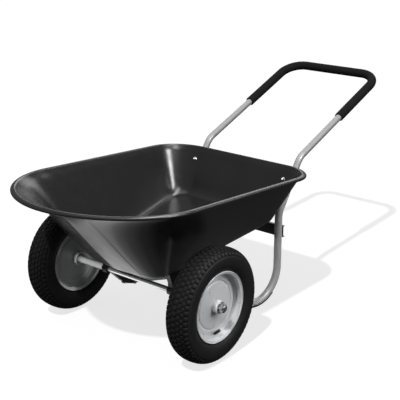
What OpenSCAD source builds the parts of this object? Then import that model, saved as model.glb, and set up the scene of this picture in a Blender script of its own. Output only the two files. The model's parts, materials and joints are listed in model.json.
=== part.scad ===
// Two wheel garden wheelbarrow: a moulded tray on a bent tube frame with pneumatic wheels.
// X runs across the cart, Y from the nose to the handle and Z up, in millimetres.
// Left and right are those of a person at the handle, so left is +X.
// Lengths named _y are measured back from the axle, and the model stands on z = 0.

/* [Wheels] */
// Diameter of a tyre over its tread
tyre_d = 340; // [320:1:360]
// Width of a tyre
tyre_w = 82; // [78:1:92]
// Thickness of a tyre at its sidewall
tyre_t = 7; // [5:0.5:9]
// Distance between the middles of the two tyres
track = 563; // [550:1:620]
// Diameter of a wheel over its lips
rim_d = 212; // [204:1:220]
// Width of a wheel over its lips
rim_w = 66; // [62:1:70]
// Sheet thickness of a wheel
rim_t = 2.2; // [1.6:0.1:2.8]
// Length of a hub tube
hub_len = 66; // [60:1:72]
// Wall of a hub tube
hub_wall = 2.5; // [2:0.1:4]
// Outer diameter of a hub bearing
bearing_d = 35; // [32:1:38]
// Width of a hub bearing
bearing_w = 11; // [8:1:14]
// Depth of a bearing below the end of its hub
bearing_inset = 2; // [1:0.5:4]
// Lean of a valve from the radius towards the outside
valve_lean = 48; // [42:1:52]
// Depth of a tyre's tread
tread_depth = 3.2; // [2:0.1:4]
// Number of lugs round each shoulder of a tyre
tread_lugs = 64; // [40:1:72]

/* [Axle] */
// Diameter of the axle
axle_d = 16; // [14:0.5:18]
// Outer diameter of a spacer tube
spacer_d = 20.5; // [19.5:0.5:24]
// Distance of an axle bracket's middle from the centre plane
bracket_x = 132.5; // [126:0.5:136]
// Width of an axle bracket
bracket_w = 17; // [15:0.5:20]
// Sheet thickness of an axle bracket
bracket_t = 2.5; // [2:0.1:3.5]
// Thickness of an axle washer
washer_t = 2.5; // [1.5:0.1:3.5]
// Height of an axle nut
nut_h = 12; // [9:0.5:14]
// Width of an axle nut across its flats
nut_af = 24; // [22:0.5:27]

/* [Tray] */
// Width of the tray over its rim
tray_w = 603; // [585:1:625]
// Reach of the rim ahead of the axle
tray_nose = 378; // [360:1:400]
// Reach of the rim behind the axle
tray_back = 528; // [516:1:532]
// Height of the floor's front edge above the axle
floor_rise = 53; // [47:1:64]
// Rise of the floor towards the back, in degrees
floor_tilt = 7.5; // [6:0.5:9]
// Height of the nose of the rim above the floor's front edge
nose_depth = 278; // [258:1:296]
// Height of the back of the rim above the floor's front edge
back_depth = 215; // [209:1:223]
// Reach of the floor ahead of the axle
floor_nose = 84; // [74:1:92]
// Reach of the floor behind the axle
floor_back = 434; // [422:1:438]
// Half width of the floor at the axle
floor_half = 156; // [153:1:166]
// Widening of the floor for each millimetre towards the back
floor_flare = 0.125; // [0.11:0.005:0.14]
// Wall of the tray, measured level
tray_wall = 5; // [4:0.5:6]
// Thickness of the tray's floor
floor_t = 4; // [3:0.5:6]
// Width of the rim's flange
flange_w = 13; // [11:0.5:16]
// Depth of the rim's lip
lip_h = 9.5; // [8.5:0.5:12]
// Radius of the rim's back corners
back_corner_r = 127; // [115:1:135]
// Radius of the floor's back corners
floor_corner_r = 55; // [45:1:65]
// Sweep of the front wall back from its crease, at the floor
prow_floor = 11; // [6:1:16]
// Sweep of the front wall back from its crease, below the rim
prow_rim = 12; // [6:1:18]
// How far the front wall curves in between its floor and its flared top
nose_hollow = 56; // [40:1:64]

/* [Frame] */
// Diameter of a leg tube
leg_d = 24.6; // [24:0.1:26]
// Wall of a leg tube
leg_wall = 1.2; // [1:0.1:1.6]
// Distance of a leg from the centre plane
leg_x = 187; // [182:0.5:190]
// Distance of the legs behind the tray's floor
leg_behind = 28; // [24:1:34]
// Lean of the leg's socket from upright, in degrees
socket_lean = 35.2; // [33:0.2:38]
// Length of the socket from the leg's upper bend
socket_run = 140; // [128:1:150]
// Radius of the leg's upper bend
leg_bend_r = 60; // [45:1:80]
// Radius of the foot bend
foot_r = 100; // [85:1:115]
// Rise of a rail towards the front, in degrees
rail_tilt = 16.9; // [15:0.1:18.5]
// Distance of the rail's front end behind the axle
rail_end_y = 95; // [85:1:110]
// Thickness of a foot pad
pad_t = 2.5; // [2:0.1:4]
// Height of the cross brace
brace_h = 38; // [32:1:44]
// Height of the cross brace's middle above the ground
brace_z = 228; // [215:1:240]
// Sheet thickness of the cross brace
brace_t = 2.5; // [2:0.1:3.5]
// Depth of the cross brace's flanges
brace_flange = 9; // [8:0.5:14]

/* [Handle] */
// Diameter of the handle tube
handle_d = 22; // [20:0.1:22]
// Wall of the handle tube
handle_wall = 1.5; // [1.2:0.1:2]
// Depth of the handle in its sockets
handle_seat = 92; // [70:1:100]
// Length of the lean up to the handle's lower bend
handle_bend_run = 194; // [184:1:206]
// Rise of the arms towards the back, in degrees
handle_tilt = 20.8; // [18:0.1:25]
// Radius of the handle's lower bends
handle_bend_r = 66; // [50:1:80]
// Distance of the cross bar behind the axle
bar_y = 1072; // [990:1:1130]
// Radius of the corners of the handle
bar_r = 70; // [55:1:90]
// Diameter of the foam grip
grip_d = 31; // [27:0.5:37]
// Length of the foam grip on each arm, from the cross bar's line
grip_run = 284; // [200:1:320]

/* [Fasteners] */
// Thread diameter of the bolts
bolt_d = 6; // [5:0.5:6.5]
// Diameter of a bolt's domed head
head_d = 15; // [13:0.5:16]
// Height of a bolt's domed head
head_h = 4; // [3:0.5:5]
// Width of a nut across its flats
hex_af = 10; // [9:0.5:10]
// Height of a nut
hex_h = 5; // [4:0.5:7]
// Distance of a wall bolt up the socket from the leg's upper bend
wall_bolt_run = 104; // [94:1:114]
// Outer diameter of a wall spacer
wall_spacer_d = 18; // [16:0.5:20]
// Distances of the floor bolts behind the axle
floor_bolt_y = [24, 88];
// Distance of a rail bolt behind the rail's front end
rail_bolt_back = 16; // [13:0.5:22]
// Distance of a brace bolt below the brace's middle
brace_bolt_drop = 8; // [4:0.5:10]

/* [Fits] */
// Radial clearance of the axle in the bearings
running = 0.05; // [0.02:0.01:0.1]
// Radial clearance of parts that are pushed together
push = 0.1; // [0.05:0.01:0.2]
// Gap between pieces that turn past each other
side_play = 0.3; // [0.2:0.05:0.6]
// Radial clearance of a bolt in its hole
bolt_play = 0.25; // [0.15:0.05:0.5]

/* [Hidden] */
$fn = 64;

silver = "silver";
black = [0.08, 0.08, 0.08];
zinc = "gainsboro";
left = 1;
right = -1;

// Small overlap that makes cuts run clear of the faces they start from
cut = 1;
// Length of thread that stands out past a nut
thread_past = 2;

// Vector helpers
function unit(v) = v / norm(v);
function lerp(a, b, s) = a + (b - a) * s;
function any_normal(d) = unit(cross(d, abs(d[0]) < 0.9 ? [1, 0, 0] : [0, 1, 0]));
function columns(x, y, z, p) = [
    [x[0], y[0], z[0], p[0]],
    [x[1], y[1], z[1], p[1]],
    [x[2], y[2], z[2], p[2]],
    [0, 0, 0, 1]
];

// Wheels and axle
axle_z = tyre_d / 2;
wheel_x = track / 2;
axle_r = axle_d / 2;
bearing_r = bearing_d / 2;
hub_r = bearing_r + hub_wall;
bearing_face = hub_len / 2 - bearing_inset;
washer_x = wheel_x + bearing_face + side_play;
nut_x = washer_x + washer_t;
axle_end = nut_x + nut_h + thread_past;
bracket_out = bracket_x + bracket_w / 2;
spacer_end = wheel_x - bearing_face - side_play;

// Section of the wheel, as distances from its middle plane and radii
rim_r = rim_d / 2;
seat_r = rim_r - 7;
well_r = rim_r - 16.5;
lip_x = rim_w / 2;
seat_x = lip_x - 5;
bead_x = 15;
well_x = 11;
disc_x = 10.5;
disc_edge_r = 0.67 * rim_r;
disc_hub_x = 18;

// Section of the tyre
tyre_low = seat_r + push;
tyre_mid_r = (tyre_d / 2 + tyre_low) / 2;
tyre_half_h = (tyre_d / 2 - tyre_low) / 2;
tyre_power = 2.5;
tube_wall = 2;
tube_gap = 0.4;

// Valve, along a line that leaves the well towards the outside of the wheel
valve_start = [8.4, well_r + 0.5];
valve_dir = [sin(valve_lean), -cos(valve_lean)];
valve_r = 3.4;
valve_out = 20;
valve_collar = [7.3, 9.8];
valve_cap_r = 4.6;
valve_cap_len = 12;
tube_low = tyre_low + tyre_t + tube_gap;
valve_in = (tube_low - valve_start[1]) / valve_dir[1] + valve_r * tan(valve_lean);

// Tray heights
floor_z0 = axle_z + floor_rise;
nose_z = floor_z0 + nose_depth;
back_z = floor_z0 + back_depth;
function floor_z(y) = floor_z0 + (y + floor_nose) * tan(floor_tilt);
function rim_z(y) = lerp(nose_z, back_z, (y + tray_nose) / (tray_back + tray_nose));
function floor_w(y) = floor_half + y * floor_flare;

// Back of the tray's wall below the rim
wall_back = tray_back - flange_w;

// Legs and handle, drawn for the side with +X
leg_r = leg_d / 2;
leg_in_r = leg_r - leg_wall;
handle_r = min(handle_d / 2, leg_in_r - push);
grip_r = grip_d / 2;
lean_dir = [0, sin(socket_lean), cos(socket_lean)];
leg_y = floor_back + leg_behind;
leg_bend = [leg_x, leg_y, floor_z(leg_y)];
socket_end = leg_bend + lean_dir * socket_run;
handle_end = leg_bend + lean_dir * (socket_run - handle_seat);
handle_bend = leg_bend + lean_dir * handle_bend_run;
arm_dir = [0, cos(handle_tilt), sin(handle_tilt)];
bar_corner = handle_bend + arm_dir * ((bar_y - handle_bend[1]) / arm_dir[1]);
grip_end = bar_corner - arm_dir * grip_run;

// Foot bend and rail, in an upright plane that turns in towards the bracket.
// The pad under the bend is cut flat by pad_flat, where it stands on the ground.
pad_flat = 0.5;
foot_z = foot_r + leg_r + pad_t - pad_flat;
foot_turn = 90 + rail_tilt;
foot_corner = [leg_x, leg_y, foot_z - foot_r * tan(foot_turn / 2)];
rail_tip_x = bracket_out + leg_r + push;
rail_yaw = atan2(leg_x - rail_tip_x, leg_y - rail_end_y);
rail_dir = [-sin(rail_yaw) * cos(rail_tilt), -cos(rail_yaw) * cos(rail_tilt), sin(rail_tilt)];
rail_end = foot_corner + rail_dir * ((leg_y - rail_end_y) / -rail_dir[1]);
rail_bolt = rail_end - rail_dir * (rail_bolt_back / -rail_dir[1]);

// Corners of the tray at its back, as the centres of their arcs
wall_corner_r = back_corner_r - flange_w;
wall_corner = [tray_w / 2 - back_corner_r, wall_back - wall_corner_r];
floor_corner = [floor_w(floor_back - floor_corner_r) - floor_corner_r, floor_back - floor_corner_r];

// Line from a point behind the tray square to its back wall: [direction, length, lean of the wall].
// It starts from a guess of the height it meets, as a share of the wall, and mends that in a few tries.
function square_to_wall(p, share, tries) =
    let (
        centre = lerp(floor_corner, wall_corner, share),
        from = [p[0], p[1]] - centre,
        out = from[0] > 0 ? unit(from) : [0, 1],
        low = floor_z(floor_corner[1] + floor_corner_r * out[1]),
        high = rim_z(wall_corner[1] + wall_corner_r * out[1]),
        run = (wall_corner - floor_corner) * out + wall_corner_r - floor_corner_r,
        lean = atan2(run, high - low),
        length = (from * out - lerp(floor_corner_r, wall_corner_r, share)) / cos(lean)
    )
    tries == 0 ? [[out[0] * cos(lean), out[1] * cos(lean), -sin(lean)], length, lean]
    : square_to_wall(p, (p[2] + length * sin(lean) - low) / (high - low), tries - 1);

// Wall bolt, square to the wall and through the socket's centre line
bolt_r = bolt_d / 2;
hex_r = hex_af / 2 / cos(30);
hole_r = bolt_r + bolt_play;
socket_hole = leg_bend + lean_dir * wall_bolt_run;
wall_meet = square_to_wall(socket_hole, 0.7, 8);
wall_out = wall_meet[0];
wall_gap = wall_meet[1];
wall_thick = tray_wall * cos(wall_meet[2]);
wall_hole = socket_hole - wall_out * wall_gap;
socket_skew = asin(abs(wall_out * lean_dir));
wall_nut_at = wall_gap + leg_r / cos(socket_skew) + hex_r * tan(socket_skew) + push;

// Floor bolts, square to the floor
floor_up = [0, -sin(floor_tilt), cos(floor_tilt)];

// Middle of the whole cart along Y, which the origin lies under
mid_y = (bar_y + grip_r - tray_nose) / 2;

module at_origin() {
    translate([0, -mid_y, 0]) children();
}

module on_side(side) {
    at_origin() mirror([side == left ? 0 : 1, 0, 0]) children();
}

module both_sides() {
    on_side(left) children();
    on_side(right) children();
}

// Places children with their Z axis along d, at p
module along(p, d) {
    z = unit(d);
    x = any_normal(z);
    multmatrix(columns(x, cross(z, x), z, p)) children();
}

// Round bar from a to b
module bar(a, b, r) {
    along(a, b - a) cylinder(r = r, h = norm(b - a));
}

// Part of a bend from angle a0 to a1 that sweeps its children, drawn at the bend's radius on X
module bend_sweep(a, b, c, bend_r, a0, a1) {
    d1 = unit(b - a);
    d2 = unit(c - b);
    turn = acos(d1 * d2);
    inward = unit(d2 - d1 * (d1 * d2));
    centre = b - d1 * bend_r * tan(turn / 2) + inward * bend_r;
    multmatrix(columns(-inward, d1, cross(d1, inward), centre))
        rotate([0, 0, a0]) rotate_extrude(angle = a1 - a0) translate([bend_r, 0]) children();
}

function turn_at(p, i) = acos(unit(p[i] - p[i - 1]) * unit(p[i + 1] - p[i]));
function trim_at(p, bends, i) =
    i == 0 || i == len(p) - 1 ? 0 : bends[i - 1] * tan(turn_at(p, i) / 2);

// Hollow round tube along the points p, with one bend radius for each inner point.
// The straights run a little into the bends, whose wall is a hair thinner.
weld_run = 0.5;
weld_thin = 0.03;

module bent_tube(p, bends, r, bore) {
    last = len(p) - 1;
    for (i = [0 : last - 1]) {
        d = unit(p[i + 1] - p[i]);
        a = p[i] + d * (trim_at(p, bends, i) - (i == 0 ? 0 : weld_run));
        b = p[i + 1] - d * (trim_at(p, bends, i + 1) - (i == last - 1 ? 0 : weld_run));
        along(a, d) ring(r, bore, norm(b - a));
    }
    for (i = [1 : last - 1])
        bend_sweep(p[i - 1], p[i], p[i + 1], bends[i - 1], 0, turn_at(p, i)) difference() {
            circle(r - weld_thin);
            circle(bore + weld_thin);
        }
}

module dome_bolt(length) {
    cap_r = (head_d * head_d / 4 + head_h * head_h) / (2 * head_h);
    cylinder(r = bolt_r, h = length);
    intersection() {
        translate([0, 0, cap_r - head_h]) sphere(cap_r);
        translate([0, 0, -head_h]) cylinder(r = head_d / 2, h = head_h);
    }
}

module hex_nut(af, h, bore) {
    difference() {
        cylinder(r = af / 2 / cos(30), h = h, $fn = 6);
        translate([0, 0, -cut]) cylinder(r = bore, h = h + 2 * cut);
    }
}

module ring(r, bore, h) {
    difference() {
        cylinder(r = r, h = h);
        translate([0, 0, -cut]) cylinder(r = bore, h = h + 2 * cut);
    }
}

// Outlines of the tray, each half from the front crease round to the middle of the back
front_steps = 14;
side_steps = 3;
corner_steps = 8;
back_steps = 2;
half_steps = front_steps + side_steps + corner_steps + back_steps;
ring_steps = 2 * half_steps;

// Where the front curve of an outline starts behind the axle, and how square that curve is
rim_front_y = -85;
floor_front_y = 110;
rim_power = 1.9;
wall_power = 2;
floor_power = 8;

// Shape of an outline: [front start y, nose y, prow sweep, power, back y, corner radius, tapers]
rim_shape = [rim_front_y, -tray_nose, 0, rim_power, tray_back, back_corner_r, false];
wall_shape = [
    rim_front_y, -tray_nose + flange_w, prow_rim, wall_power, wall_back, wall_corner_r, false
];
floor_shape = [floor_front_y, -floor_nose, prow_floor, floor_power, floor_back, floor_corner_r, true];

function half_width(shape, y) =
    shape[6] ? floor_w(y) : shape[2] > 0 ? tray_w / 2 - flange_w : tray_w / 2;

function front_point(shape, a) =
    let (
        c = pow(cos(a), 2 / shape[3]),
        sweep = shape[2] * c,
        y = shape[0] - (shape[0] - shape[1] - sweep) * pow(sin(a), 2 / shape[3])
    ) [half_width(shape, y) * c, y];

function back_point(shape, a) =
    let (
        r = shape[5],
        y = shape[4] - r,
        x = half_width(shape, y) - r
    ) [x + r * cos(a), y + r * sin(a)];

function half_point(shape, i) =
    i <= front_steps ? front_point(shape, 90 - 90 * i / front_steps)
    : i <= front_steps + side_steps ?
        let (y = lerp(shape[0], shape[4] - shape[5], (i - front_steps) / side_steps))
        [half_width(shape, y), y]
    : i <= half_steps - back_steps ?
        back_point(shape, 90 * (i - front_steps - side_steps) / corner_steps)
    : let (p = back_point(shape, 90)) [p[0] * (half_steps - i) / back_steps, p[1]];

function outline_point(shape, i) =
    let (k = (i + ring_steps) % ring_steps)
    k <= half_steps ? half_point(shape, k)
    : let (p = half_point(shape, ring_steps - k)) [-p[0], p[1]];

function outward(shape, i) =
    let (t = outline_point(shape, i + 1) - outline_point(shape, i - 1)) unit([t[1], -t[0]]);

rim_line = [for (i = [0 : ring_steps - 1]) outline_point(rim_shape, i)];
rim_norm = [for (i = [0 : ring_steps - 1]) outward(rim_shape, i)];
wall_line = [for (i = [0 : ring_steps - 1]) outline_point(wall_shape, i)];
wall_norm = [for (i = [0 : ring_steps - 1]) outward(wall_shape, i)];
floor_line = [for (i = [0 : ring_steps - 1]) outline_point(floor_shape, i)];
floor_norm = [for (i = [0 : ring_steps - 1]) outward(floor_shape, i)];

// How far the front wall lies inside a straight wall at share s of its height, less towards the sides
function front_share(i) =
    let (k = min(i, ring_steps - i)) k < front_steps ? pow(cos(90 * k / front_steps), 2) : 0;
function hollow(i, s) = nose_hollow * front_share(i) * (pow(s, 2) - pow(s, 8));

// Point on the wall at share s of its height, moved out by d
function wall_point(i, s, d) =
    let (
        out = d - hollow(i, s),
        p = lerp(floor_line[i], wall_line[i], s) + lerp(floor_norm[i], wall_norm[i], s) * out,
        low = floor_z(floor_line[i][1]),
        high = rim_z(wall_line[i][1])
    ) [p[0], p[1], lerp(low, high, s)];

function floor_point(i, d, up) =
    let (p = floor_line[i] + floor_norm[i] * d) [p[0], p[1], floor_z(p[1]) + up];

function top_point(line, norms, i, d, up) =
    let (p = line[i] + norms[i] * d) [p[0], p[1], rim_z(line[i][1]) + up];

function curve(a, b, c, q) = a * (1 - q) * (1 - q) + b * 2 * q * (1 - q) + c * q * q;

// Rounding between floor and wall, as a length along the floor and a share of the wall's height
inner_round = [13, 0.22];
outer_round = [8, 0.07];
round_steps = 5;
wall_shares = [0.38, 0.55, 0.7, 0.8, 0.88, 0.95];
floor_share = floor_t / (back_z - floor_z(floor_back));

function round_point(i, inner, q) =
    let (
        d = inner ? -tray_wall : 0,
        up = inner ? floor_t : 0,
        share = inner ? floor_share : 0,
        size = inner ? inner_round : outer_round
    )
    curve(floor_point(i, d - size[0], up), wall_point(i, share, d), wall_point(i, size[1], d), q);

function wall_rings(inner) = concat(
    [for (k = [0 : round_steps]) [for (i = [0 : ring_steps - 1]) round_point(i, inner, k / round_steps)]],
    [for (s = wall_shares) [for (i = [0 : ring_steps - 1]) wall_point(i, s, inner ? -tray_wall : 0)]]
);

function top_ring(on_rim, d, up) = [
    for (i = [0 : ring_steps - 1])
        on_rim ? top_point(rim_line, rim_norm, i, d, up) : top_point(wall_line, wall_norm, i, d, up)
];

// The rolled rim, from the inside of the wall over the flange and under the lip
rim_t_flange = 4.5;
lip_t = 3.6;
rim_rings = [
    top_ring(false, -tray_wall, -4),
    top_ring(false, -tray_wall / 2, -1),
    top_ring(false, 1, 0),
    top_ring(true, -6.5, -0.6),
    top_ring(true, -3, -2),
    top_ring(true, -0.8, -4),
    top_ring(true, 0, -6.3),
    top_ring(true, -0.3, 1.2 - lip_h),
    top_ring(true, -1.3, -lip_h),
    top_ring(true, 0.4 - lip_t, -lip_h),
    top_ring(true, -lip_t, -7.3),
    top_ring(true, -lip_t - 1.4, -rim_t_flange - 1.1),
    top_ring(true, -lip_t - 4.4, -rim_t_flange - 0.2),
    top_ring(false, 2.5, -rim_t_flange)
];

function reversed(list) = [for (i = [len(list) - 1 : -1 : 0]) list[i]];

tray_rings = concat(wall_rings(true), rim_rings, reversed(wall_rings(false)));
ring_count = len(tray_rings);

module tray_shell() {
    points = [for (r = tray_rings) each r];
    sides = [
        for (k = [0 : ring_count - 2])
            for (i = [0 : ring_steps - 1])
                let (
                    j = (i + 1) % ring_steps,
                    a = k * ring_steps + i,
                    b = k * ring_steps + j,
                    c = (k + 1) * ring_steps + j,
                    d = (k + 1) * ring_steps + i
                )
                each [[a, c, b], [a, d, c]]
    ];
    inside = [for (i = [0 : ring_steps - 1]) i];
    last = (ring_count - 1) * ring_steps;
    underside = [for (i = [ring_steps - 1 : -1 : 0]) last + i];
    polyhedron(points = points, faces = concat(sides, [inside, underside]), convexity = 6);
}

module tray() {
    color(black) at_origin() difference() {
        tray_shell();
        for (side = [left, right]) {
            mirror([side == left ? 0 : 1, 0, 0]) {
                along(wall_hole - wall_out * 3 * tray_wall, wall_out) cylinder(r = hole_r, h = 4 * tray_wall);
                for (y = floor_bolt_y)
                    along([bracket_x, y, floor_z(y)] - floor_up * floor_t, floor_up)
                        cylinder(r = hole_r, h = 4 * floor_t);
            }
        }
    }
}

// Paths of the tubes
leg_path = [socket_end, leg_bend, foot_corner, rail_end];
leg_bends = [leg_bend_r, foot_r];

function mirrored(p) = [-p[0], p[1], p[2]];

handle_path = [
    handle_end, handle_bend, bar_corner,
    mirrored(bar_corner), mirrored(handle_bend), mirrored(handle_end)
];
handle_bends = [handle_bend_r, bar_r, bar_r, handle_bend_r];
grip_path = [grip_end, bar_corner, mirrored(bar_corner), mirrored(grip_end)];

module wall_bolt_hole() {
    along(socket_hole - wall_out * leg_d, wall_out) cylinder(r = hole_r, h = 2 * leg_d);
}

module brace_bolt_hole() {
    translate([leg_x, leg_y - leg_d, brace_z - brace_bolt_drop])
        rotate([-90, 0, 0]) cylinder(r = hole_r, h = 2 * leg_d);
}

module rail_bolt_hole() {
    translate([rail_bolt[0] - leg_d, rail_bolt[1], rail_bolt[2]])
        rotate([0, 90, 0]) cylinder(r = hole_r, h = 2 * leg_d);
}

module leg(side) {
    color(silver) on_side(side) difference() {
        bent_tube(leg_path, leg_bends, leg_r, leg_in_r);
        wall_bolt_hole();
        brace_bolt_hole();
        rail_bolt_hole();
    }
}

module handle_tube() {
    color(silver) at_origin() difference() {
        bent_tube(handle_path, handle_bends, handle_r, handle_r - handle_wall);
        wall_bolt_hole();
        mirror([1, 0, 0]) wall_bolt_hole();
    }
}

module handle_grip() {
    color(black) at_origin() bent_tube(grip_path, [bar_r, bar_r], grip_r, handle_r + side_play);
}

// Wear strip round the outside of a foot bend, flat where it stands on the ground
pad_from = 52;
pad_to = 104;
pad_share = 0.35;

module foot_pad(side) {
    color(black) on_side(side) difference() {
        bend_sweep(leg_bend, foot_corner, rail_end, foot_r, pad_from, pad_to) intersection() {
            difference() {
                circle(leg_r + pad_t);
                circle(leg_r + push);
            }
            translate([pad_share * leg_r, -leg_d]) square([leg_d, 2 * leg_d]);
        }
        translate([0, 0, -leg_d]) linear_extrude(leg_d) square(4 * leg_y, center = true);
    }
}

// Channel behind the legs with its flanges to the back
brace_front = leg_y + leg_r + push;
brace_half = leg_x + leg_r - 2;

module cross_brace() {
    color(black) at_origin() difference() {
        translate([-brace_half, brace_front, brace_z - brace_h / 2])
            cube([2 * brace_half, brace_flange, brace_h]);
        translate([-brace_half - cut, brace_front + brace_t, brace_z - brace_h / 2 + brace_t])
            cube([2 * (brace_half + cut), brace_flange, brace_h - 2 * brace_t]);
        brace_bolt_hole();
        mirror([1, 0, 0]) brace_bolt_hole();
    }
}

module axle() {
    color(zinc) at_origin() translate([-axle_end, 0, axle_z])
        rotate([0, 90, 0]) cylinder(r = axle_r, h = 2 * axle_end);
}

// Outline of an axle bracket in the Y Z plane, from the tray's floor to the axle and the rail
bracket_front = -20;
bracket_rear = 112;
bracket_lobe = 14;
tail = [rail_bolt[1], rail_bolt[2]];
bracket_edge = [
    [bracket_front, floor_z(bracket_front) - push],
    [bracket_rear, floor_z(bracket_rear) - push],
    [tail[0] + 15, tail[1] + 8],
    [tail[0] + 11, tail[1] - 9],
    [tail[0] - 25, tail[1] + 4],
    [tail[0] - 49, tail[1] + 19],
    [bracket_lobe, axle_z - bracket_lobe - 4],
    [-bracket_lobe / 2, axle_z - bracket_lobe / 2],
    [-bracket_lobe / 2, axle_z + bracket_lobe + 11]
];
bracket_pocket = [
    [bracket_front + 9, floor_z(bracket_front + 9) - bracket_t - push],
    [bracket_rear + 30, floor_z(bracket_rear + 30) - bracket_t - push],
    [tail[0] + 40, tail[1] + 8],
    [tail[0] + 14, tail[1] - 5],
    [tail[0] - 24, tail[1] + 8],
    [tail[0] - 47, tail[1] + 22],
    [bracket_lobe + 3, axle_z - bracket_lobe],
    [axle_r, axle_z + bracket_lobe]
];

// Extrudes an outline drawn in Y and Z along X
module across(x, w) {
    translate([x, 0, 0]) rotate([90, 0, 90]) linear_extrude(w) children();
}

module axle_bracket(side) {
    color(black) on_side(side) difference() {
        union() {
            across(bracket_x - bracket_w / 2, bracket_w) polygon(bracket_edge);
            on_axle(bracket_x - bracket_w / 2) cylinder(r = bracket_lobe, h = bracket_w);
        }
        across(bracket_x - bracket_w / 2 + bracket_t, bracket_w - 2 * bracket_t) polygon(bracket_pocket);
        translate([bracket_x - bracket_w, 0, axle_z])
            rotate([0, 90, 0]) cylinder(r = axle_r + push, h = 2 * bracket_w);
        translate([bracket_x - bracket_w, rail_bolt[1], rail_bolt[2]])
            rotate([0, 90, 0]) cylinder(r = hole_r, h = 2 * bracket_w);
        for (y = floor_bolt_y)
            along([bracket_x, y, floor_z(y)] - floor_up * 3 * bracket_t, floor_up)
                cylinder(r = hole_r, h = 4 * bracket_t);
    }
}

// Puts children with their Z axis along +X on the axle's line
module on_axle(x) {
    translate([x, 0, axle_z]) rotate([0, 90, 0]) children();
}

module spacer(side) {
    color(silver) on_side(side) on_axle(bracket_out) ring(spacer_d / 2, axle_r + push, spacer_end - bracket_out);
}

module axle_washers() {
    color(zinc) both_sides() on_axle(washer_x) ring(bearing_r - 3, axle_r + push, washer_t);
}

module axle_nuts() {
    color(zinc) both_sides() on_axle(nut_x) hex_nut(nut_af, nut_h, axle_r + push);
}

// The flat head of a wall bolt stands off the hollow corner by the corner's depth under it
bolt_corner_r = (floor_corner_r + wall_corner_r) / 2 - tray_wall;
corner_facet_h = bolt_corner_r * (1 - cos(45 / corner_steps));
wall_head_at = wall_thick + head_d * head_d / 8 / bolt_corner_r + corner_facet_h + push;

module wall_bolts() {
    color(zinc) both_sides()
        along(wall_hole - wall_out * wall_head_at, wall_out)
            dome_bolt(wall_head_at + wall_nut_at + hex_h + thread_past);
}

module wall_spacers() {
    color(black) both_sides() difference() {
        along(wall_hole + wall_out * push, wall_out) ring(wall_spacer_d / 2, hole_r, wall_gap);
        bar(leg_bend, socket_end, leg_r + push);
    }
}

module wall_nuts() {
    color(zinc) both_sides() along(wall_hole + wall_out * wall_nut_at, wall_out)
        hex_nut(hex_af, hex_h, bolt_r + running);
}

module floor_bolts() {
    color(zinc) both_sides() for (y = floor_bolt_y)
        along([bracket_x, y, floor_z(y)] + floor_up * (floor_t * cos(floor_tilt) + push), -floor_up)
            dome_bolt(floor_t + bracket_t + hex_h + thread_past + cut);
}

module floor_nuts() {
    color(zinc) both_sides() for (y = floor_bolt_y)
        along([bracket_x, y, floor_z(y)] - floor_up * (bracket_t + 2 * push), -floor_up)
            hex_nut(hex_af, hex_h, bolt_r + running);
}

// The rail bolt's head is outside the rail and its nut inside the bracket
rail_head_x = rail_bolt[0] + leg_r / cos(rail_yaw) + head_d / 2 * tan(rail_yaw) + push;
rail_nut_x = bracket_x - bracket_w / 2 - push;

module rail_bolts() {
    color(zinc) both_sides() along([rail_head_x, rail_bolt[1], rail_bolt[2]], [-1, 0, 0])
        dome_bolt(rail_head_x - rail_nut_x + hex_h + thread_past);
}

module rail_nuts() {
    color(zinc) both_sides() along([rail_nut_x, rail_bolt[1], rail_bolt[2]], [-1, 0, 0])
        hex_nut(hex_af, hex_h, bolt_r + running);
}

brace_head = [leg_x, leg_y - leg_r - push, brace_z - brace_bolt_drop];
brace_nut = [leg_x, brace_front + brace_t + push, brace_z - brace_bolt_drop];

module brace_bolts() {
    color(zinc) both_sides() along(brace_head, [0, 1, 0])
        dome_bolt(brace_nut[1] - brace_head[1] + hex_h + thread_past);
}

module brace_nuts() {
    color(zinc) both_sides() along(brace_nut, [0, 1, 0]) hex_nut(hex_af, hex_h, bolt_r + running);
}

// Turns a section of distances and radii about the wheel's own line
module wheel_turn(side) {
    on_side(side) on_axle(wheel_x) rotate_extrude() children();
}

// Swaps a section of [distance, radius] points into the plane that is turned
function section(points) = [for (p = points) [p[1], p[0]]];

// Point of the rounded section of a tyre or tube at angle a, its half sizes reduced by d
function section_point(a, d) =
    let (e = 2 / tyre_power)
    [
        tyre_mid_r + (tyre_half_h - d) * sign(sin(a)) * pow(abs(sin(a)), e),
        (tyre_w / 2 - d) * sign(cos(a)) * pow(abs(cos(a)), e)
    ];

section_steps = 36;

function round_section(d, a0, a1) =
    [for (k = [0 : section_steps]) section_point(lerp(a0, a1, k / section_steps), d)];

// The sidewalls end just over the lips, and the cavity opens between the beads
sidewall_low = rim_r + 1.5;
sidewall_a = asin(pow((tyre_mid_r - sidewall_low) / tyre_half_h, tyre_power / 2));
cavity_a = acos(pow(bead_x / (tyre_w / 2 - tyre_t), tyre_power / 2));

// Tread of one half of the section: the angles where its rows of lugs start and end, from the shoulder
// to the middle row, and the angle that a groove's side takes
tread_rows = [24, 46, 51, 62, 67, 79, 84];
groove_a = 1;
lug_gap = 4;

function tread_edge(k) =
    let (
        a = tread_rows[k],
        top = section_point(a, 0),
        foot = section_point(k % 2 == 0 ? a - groove_a : a + groove_a, tread_depth)
    )
    k % 2 == 0 ? [foot, top] : [top, foot];

sidewall_steps = 6;
half_section = concat(
    [
        for (k = [0 : sidewall_steps])
            section_point(lerp(-sidewall_a, tread_rows[0] - 4 * groove_a, k / sidewall_steps), 0)
    ],
    [for (k = [0 : len(tread_rows) - 1]) each tread_edge(k)]
);
crown = section_point(90, 0);

// Gap between two lugs of the shoulder row
shoulder = [tread_rows[0] - 2 * groove_a, (tread_rows[0] + tread_rows[1]) / 2, tread_rows[1] + groove_a];
lug_gap_section = concat(
    [for (a = shoulder) section_point(a, tread_depth)],
    [for (a = reversed(shoulder)) section_point(a, -tread_depth)]
);

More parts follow.
